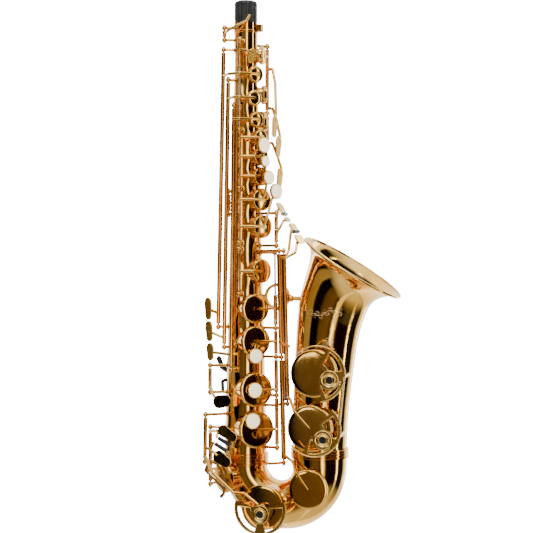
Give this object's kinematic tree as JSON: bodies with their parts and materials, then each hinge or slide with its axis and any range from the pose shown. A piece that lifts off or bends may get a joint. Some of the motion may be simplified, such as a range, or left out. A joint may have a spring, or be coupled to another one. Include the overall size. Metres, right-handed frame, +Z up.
{
  "type": "alto saxophone body",
  "caption": "Curved-bell woodwind body with conical tube, bow, flared bell, hinged padded keys, pearl touches, rollers, wire guards and a fluted end plug; the neck is off.",
  "frame": {"origin": "top of the neck tenon's bore in the neck socket, on the body tube's axis", "axes": "+Z up the body tube towards the neck; the bow and bell lie in the XZ plane with the bell towards +X; the keywork faces between -Y and +X"},
  "size_m": [0.2196, 0.1242, 0.5924],
  "materials": {
    "body_lacquer": "clear lacquer, mirror bright, deep gold",
    "fitting_lacquer": "clear lacquer, mirror bright",
    "post_lacquer": "clear lacquer, polished",
    "black_plastic": "moulded, semi-gloss",
    "steel": "oiled hinge steel",
    "key_lacquer": "clear lacquer, polished",
    "pearl": "mother-of-pearl, polished",
    "black_roller": "polished",
    "guard_lacquer": "clear lacquer, polished",
    "black_felt": "dense felt"
  },
  "bodies": {
    "body": {"body_tube": "body_lacquer", "bow": "body_lacquer", "bell": "body_lacquer", "body_bow_ferrule": "fitting_lacquer", "bell_bow_ring": "fitting_lacquer", "neck_socket": "fitting_lacquer", "socket_screw": "post_lacquer", "upper_posts": "post_lacquer", "lower_posts": "post_lacquer", "side_posts": "post_lacquer", "hinge_rods": "steel", "bell_key_guard": "guard_lacquer", "low_c_guard": "guard_lacquer", "bumper_caps": "guard_lacquer", "bumper_felts": "black_felt", "low_e_flat_guard": "guard_lacquer", "bell_brace": "fitting_lacquer", "strap_ring": "fitting_lacquer", "thumb_rest": "black_plastic", "thumb_hook": "black_plastic"},
    "end_plug": {"end_plug": "black_plastic"},
    "key_c": {"key_c": "key_lacquer"},
    "key_b": {"key_b": "key_lacquer", "pearl_b": "pearl"},
    "key_bis": {"key_bis": "key_lacquer", "pearl_bis": "pearl"},
    "key_a": {"key_a": "key_lacquer", "pearl_a": "pearl"},
    "key_g": {"key_g": "key_lacquer", "pearl_g": "pearl"},
    "front_f_key": {"front_f_key": "key_lacquer"},
    "key_f_sharp": {"key_f_sharp": "key_lacquer"},
    "key_f": {"key_f": "key_lacquer", "pearl_f": "pearl"},
    "key_e": {"key_e": "key_lacquer", "pearl_e": "pearl"},
    "key_d": {"key_d": "key_lacquer", "pearl_d": "pearl"},
    "key_g_sharp": {"key_g_sharp": "key_lacquer"},
    "g_sharp_lever": {"g_sharp_lever": "key_lacquer"},
    "g_sharp_roller": {"g_sharp_roller": "black_roller"},
    "c_sharp_lever": {"c_sharp_lever": "key_lacquer"},
    "side_e": {"side_e": "key_lacquer"},
    "side_c": {"side_c": "key_lacquer"},
    "side_b_flat": {"side_b_flat": "key_lacquer"},
    "palm_f": {"palm_f": "key_lacquer"},
    "palm_e_flat": {"palm_e_flat": "key_lacquer"},
    "palm_d": {"palm_d": "key_lacquer"},
    "octave_ring_lever": {"octave_ring_lever": "key_lacquer"},
    "octave_thumb_lever": {"octave_thumb_lever": "key_lacquer"},
    "octave_pip_key": {"octave_pip_key": "key_lacquer"},
    "low_b_flat_key": {"low_b_flat_key": "key_lacquer"},
    "low_b_key": {"low_b_key": "key_lacquer"},
    "low_b_roller": {"low_b_roller": "black_roller"},
    "low_c_sharp_key": {"low_c_sharp_key": "key_lacquer"},
    "low_e_flat_key": {"low_e_flat_key": "key_lacquer"},
    "low_e_flat_roller": {"low_e_flat_roller": "black_roller"},
    "low_c_key": {"low_c_key": "key_lacquer"},
    "low_c_roller": {"low_c_roller": "black_roller"},
    "high_f_sharp_key": {"high_f_sharp_key": "key_lacquer"}
  },
  "joints": [
    {"name": "end_plug_slide", "type": "slide", "parent": "body", "child": "end_plug", "axis": [0, 0, 1], "range_m": [0, 0.03]},
    {"name": "key_c_hinge", "type": "hinge", "parent": "body", "child": "key_c", "pos_m": [0.0005, -0.02546, -0.117], "axis": [-0.0042, 0.0288, 0.9996], "range_deg": [0, 5], "stiffness_Nm_per_rad": 0.12, "springref_deg": -34.38},
    {"name": "key_b_hinge", "type": "hinge", "parent": "body", "child": "key_b", "pos_m": [0.00057, -0.02589, -0.1322], "axis": [-0.0042, 0.0288, 0.9996], "range_deg": [0, 5], "stiffness_Nm_per_rad": 0.12, "springref_deg": -34.38},
    {"name": "key_bis_hinge", "type": "hinge", "parent": "body", "child": "key_bis", "pos_m": [0.00066, -0.02653, -0.1544], "axis": [-0.0042, 0.0288, 0.9996], "range_deg": [0, 5], "stiffness_Nm_per_rad": 0.12, "springref_deg": -34.38},
    {"name": "key_a_hinge", "type": "hinge", "parent": "body", "child": "key_a", "pos_m": [0.00078, -0.02733, -0.182], "axis": [-0.0042, 0.0288, 0.9996], "range_deg": [0, 5], "stiffness_Nm_per_rad": 0.12, "springref_deg": -34.38},
    {"name": "key_g_hinge", "type": "hinge", "parent": "body", "child": "key_g", "pos_m": [0.00087, -0.028, -0.2054], "axis": [-0.0042, 0.0288, 0.9996], "range_deg": [0, 5], "stiffness_Nm_per_rad": 0.12, "springref_deg": -34.38},
    {"name": "front_f_key_hinge", "type": "hinge", "parent": "body", "child": "front_f_key", "pos_m": [0.00008, -0.02256, -0.0164], "axis": [0.0042, -0.0288, -0.9996], "range_deg": [0, 6], "stiffness_Nm_per_rad": 0.12, "springref_deg": -34.38},
    {"name": "key_f_sharp_hinge", "type": "hinge", "parent": "body", "child": "key_f_sharp", "pos_m": [0.03575, -0.00391, -0.297], "axis": [0.0184, -0.0209, -0.9996], "range_deg": [0, 6], "stiffness_Nm_per_rad": 0.12, "springref_deg": -34.38},
    {"name": "key_f_hinge", "type": "hinge", "parent": "body", "child": "key_f", "pos_m": [0.03649, -0.00476, -0.3375], "axis": [0.0184, -0.0209, -0.9996], "range_deg": [0, 6], "stiffness_Nm_per_rad": 0.12, "springref_deg": -34.38},
    {"name": "key_e_hinge", "type": "hinge", "parent": "body", "child": "key_e", "pos_m": [0.03708, -0.00542, -0.3695], "axis": [0.0184, -0.0209, -0.9996], "range_deg": [0, 6], "stiffness_Nm_per_rad": 0.12, "springref_deg": -34.38},
    {"name": "key_d_hinge", "type": "hinge", "parent": "body", "child": "key_d", "pos_m": [0.03787, -0.00632, -0.4125], "axis": [0.0184, -0.0209, -0.9996], "range_deg": [0, 6], "stiffness_Nm_per_rad": 0.12, "springref_deg": -34.38},
    {"name": "key_g_sharp_hinge", "type": "hinge", "parent": "body", "child": "key_g_sharp", "pos_m": [0.00103, -0.02904, -0.2495], "axis": [0.0058, -0.0191, -0.9998], "range_deg": [0, 4], "stiffness_Nm_per_rad": 0.12, "springref_deg": -34.38},
    {"name": "g_sharp_lever_hinge", "type": "hinge", "parent": "body", "child": "g_sharp_lever", "pos_m": [0.03719, -0.00536, -0.2095], "axis": [0, 0, -1], "range_deg": [0, 6], "stiffness_Nm_per_rad": 0.12, "springref_deg": -34.38},
    {"name": "g_sharp_roller_turn", "type": "hinge", "parent": "g_sharp_lever", "child": "g_sharp_roller", "pos_m": [0.04203, 0.01994, -0.20647], "axis": [-0.0523, -0.9986, 0], "continuous": true},
    {"name": "c_sharp_lever_hinge", "type": "hinge", "parent": "body", "child": "c_sharp_lever", "pos_m": [0.03719, -0.00536, -0.2242], "axis": [0, 0, -1], "range_deg": [0, 6], "stiffness_Nm_per_rad": 0.12, "springref_deg": -34.38},
    {"name": "side_e_hinge", "type": "hinge", "parent": "body", "child": "side_e", "pos_m": [-0.02309, -0.01021, -0.0255], "axis": [-0.0175, -0.0087, -0.9998], "range_deg": [0, 5], "stiffness_Nm_per_rad": 0.12, "springref_deg": -34.38},
    {"name": "side_c_hinge", "type": "hinge", "parent": "body", "child": "side_c", "pos_m": [-0.01459, -0.01915, -0.0605], "axis": [-0.0105, -0.0172, -0.9998], "range_deg": [0, 5], "stiffness_Nm_per_rad": 0.12, "springref_deg": -34.38},
    {"name": "side_b_flat_hinge", "type": "hinge", "parent": "body", "child": "side_b_flat", "pos_m": [-0.00645, -0.02349, -0.0895], "axis": [-0.0033, -0.0241, -0.9997], "range_deg": [0, 5], "stiffness_Nm_per_rad": 0.12, "springref_deg": -34.38},
    {"name": "palm_f_hinge", "type": "hinge", "parent": "body", "child": "palm_f", "pos_m": [0.01886, 0.0204, -0.0195], "axis": [0, 0, 1], "range_deg": [0, 6], "stiffness_Nm_per_rad": 0.12, "springref_deg": -34.38},
    {"name": "palm_e_flat_hinge", "type": "hinge", "parent": "body", "child": "palm_e_flat", "pos_m": [0.01886, 0.0204, -0.0445], "axis": [0, 0, 1], "range_deg": [0, 6], "stiffness_Nm_per_rad": 0.12, "springref_deg": -34.38},
    {"name": "palm_d_hinge", "type": "hinge", "parent": "body", "child": "palm_d", "pos_m": [0.01886, 0.0204, -0.095], "axis": [0, 0, 1], "range_deg": [0, 6], "stiffness_Nm_per_rad": 0.12, "springref_deg": -34.38},
    {"name": "octave_ring_lever_hinge", "type": "hinge", "parent": "body", "child": "octave_ring_lever", "pos_m": [-0.02178, -0.01084, -0.001], "axis": [0, 0, -1], "range_deg": [0, 6], "stiffness_Nm_per_rad": 0.12, "springref_deg": -34.38},
    {"name": "octave_thumb_lever_hinge", "type": "hinge", "parent": "body", "child": "octave_thumb_lever", "pos_m": [-0.01266, 0.02227, -0.13], "axis": [0.9563, 0.2924, 0], "range_deg": [0, 5], "stiffness_Nm_per_rad": 0.12, "springref_deg": -34.38},
    {"name": "octave_pip_key_hinge", "type": "hinge", "parent": "body", "child": "octave_pip_key", "pos_m": [-0.02439, 0.01137, -0.1835], "axis": [0, 0, 1], "range_deg": [0, 8], "stiffness_Nm_per_rad": 0.12, "springref_deg": -34.38},
    {"name": "low_b_flat_key_hinge", "type": "hinge", "parent": "body", "child": "low_b_flat_key", "pos_m": [0.0419, -0.01023, -0.2515], "axis": [-0.0255, 0.0033, 0.9997], "range_deg": [0, 7], "stiffness_Nm_per_rad": 0.12, "springref_deg": -34.38},
    {"name": "low_b_key_hinge", "type": "hinge", "parent": "body", "child": "low_b_key", "pos_m": [0.04619, -0.00578, -0.2515], "axis": [-0.0262, 0.0012, 0.9997], "range_deg": [0, 8], "stiffness_Nm_per_rad": 0.12, "springref_deg": -34.38},
    {"name": "low_b_roller_turn", "type": "hinge", "parent": "low_b_key", "child": "low_b_roller", "pos_m": [0.05683, 0.018, -0.22612], "axis": [-0.1908, -0.9816, -0.0036], "continuous": true},
    {"name": "low_c_sharp_key_hinge", "type": "hinge", "parent": "body", "child": "low_c_sharp_key", "pos_m": [0.04491, -0.01063, -0.3695], "axis": [0.0255, -0.0033, -0.9997], "range_deg": [0, 7], "stiffness_Nm_per_rad": 0.12, "springref_deg": -34.38},
    {"name": "low_e_flat_key_hinge", "type": "hinge", "parent": "body", "child": "low_e_flat_key", "pos_m": [-0.03825, -0.0117, -0.4495], "axis": [0, 0, -1], "range_deg": [0, 6], "stiffness_Nm_per_rad": 0.12, "springref_deg": -34.38},
    {"name": "low_e_flat_roller_turn", "type": "hinge", "parent": "low_e_flat_key", "child": "low_e_flat_roller", "pos_m": [-0.02095, -0.04091, -0.4535], "axis": [0.8659, 0.0569, -0.4969], "continuous": true},
    {"name": "low_c_key_hinge", "type": "hinge", "parent": "body", "child": "low_c_key", "pos_m": [-0.03624, -0.03416, -0.4335], "axis": [0.0072, 0.0223, 0.9997], "range_deg": [0, 5], "stiffness_Nm_per_rad": 0.12, "springref_deg": -34.38},
    {"name": "low_c_roller_turn", "type": "hinge", "parent": "low_c_key", "child": "low_c_roller", "pos_m": [-0.0242, -0.04178, -0.45997], "axis": [0.8686, -0.0191, -0.4952], "continuous": true},
    {"name": "high_f_sharp_key_hinge", "type": "hinge", "parent": "body", "child": "high_f_sharp_key", "pos_m": [-0.03562, -0.0203, -0.3795], "axis": [0, 0, -1], "range_deg": [0, 7], "stiffness_Nm_per_rad": 0.12, "springref_deg": -34.38}
  ],
  "couplings": [
    {"joint": "key_g_sharp_hinge", "follows": "g_sharp_lever_hinge", "ratio": 0.66667},
    {"joint": "low_c_sharp_key_hinge", "follows": "c_sharp_lever_hinge", "ratio": 1.1667},
    {"joint": "key_c_hinge", "follows": "key_a_hinge", "ratio": 1},
    {"joint": "key_f_sharp_hinge", "follows": "key_f_hinge", "ratio": 1},
    {"joint": "octave_ring_lever_hinge", "follows": "octave_thumb_lever_hinge", "ratio": 1.2},
    {"joint": "octave_pip_key_hinge", "follows": "octave_thumb_lever_hinge", "ratio": 1.6}
  ]
}
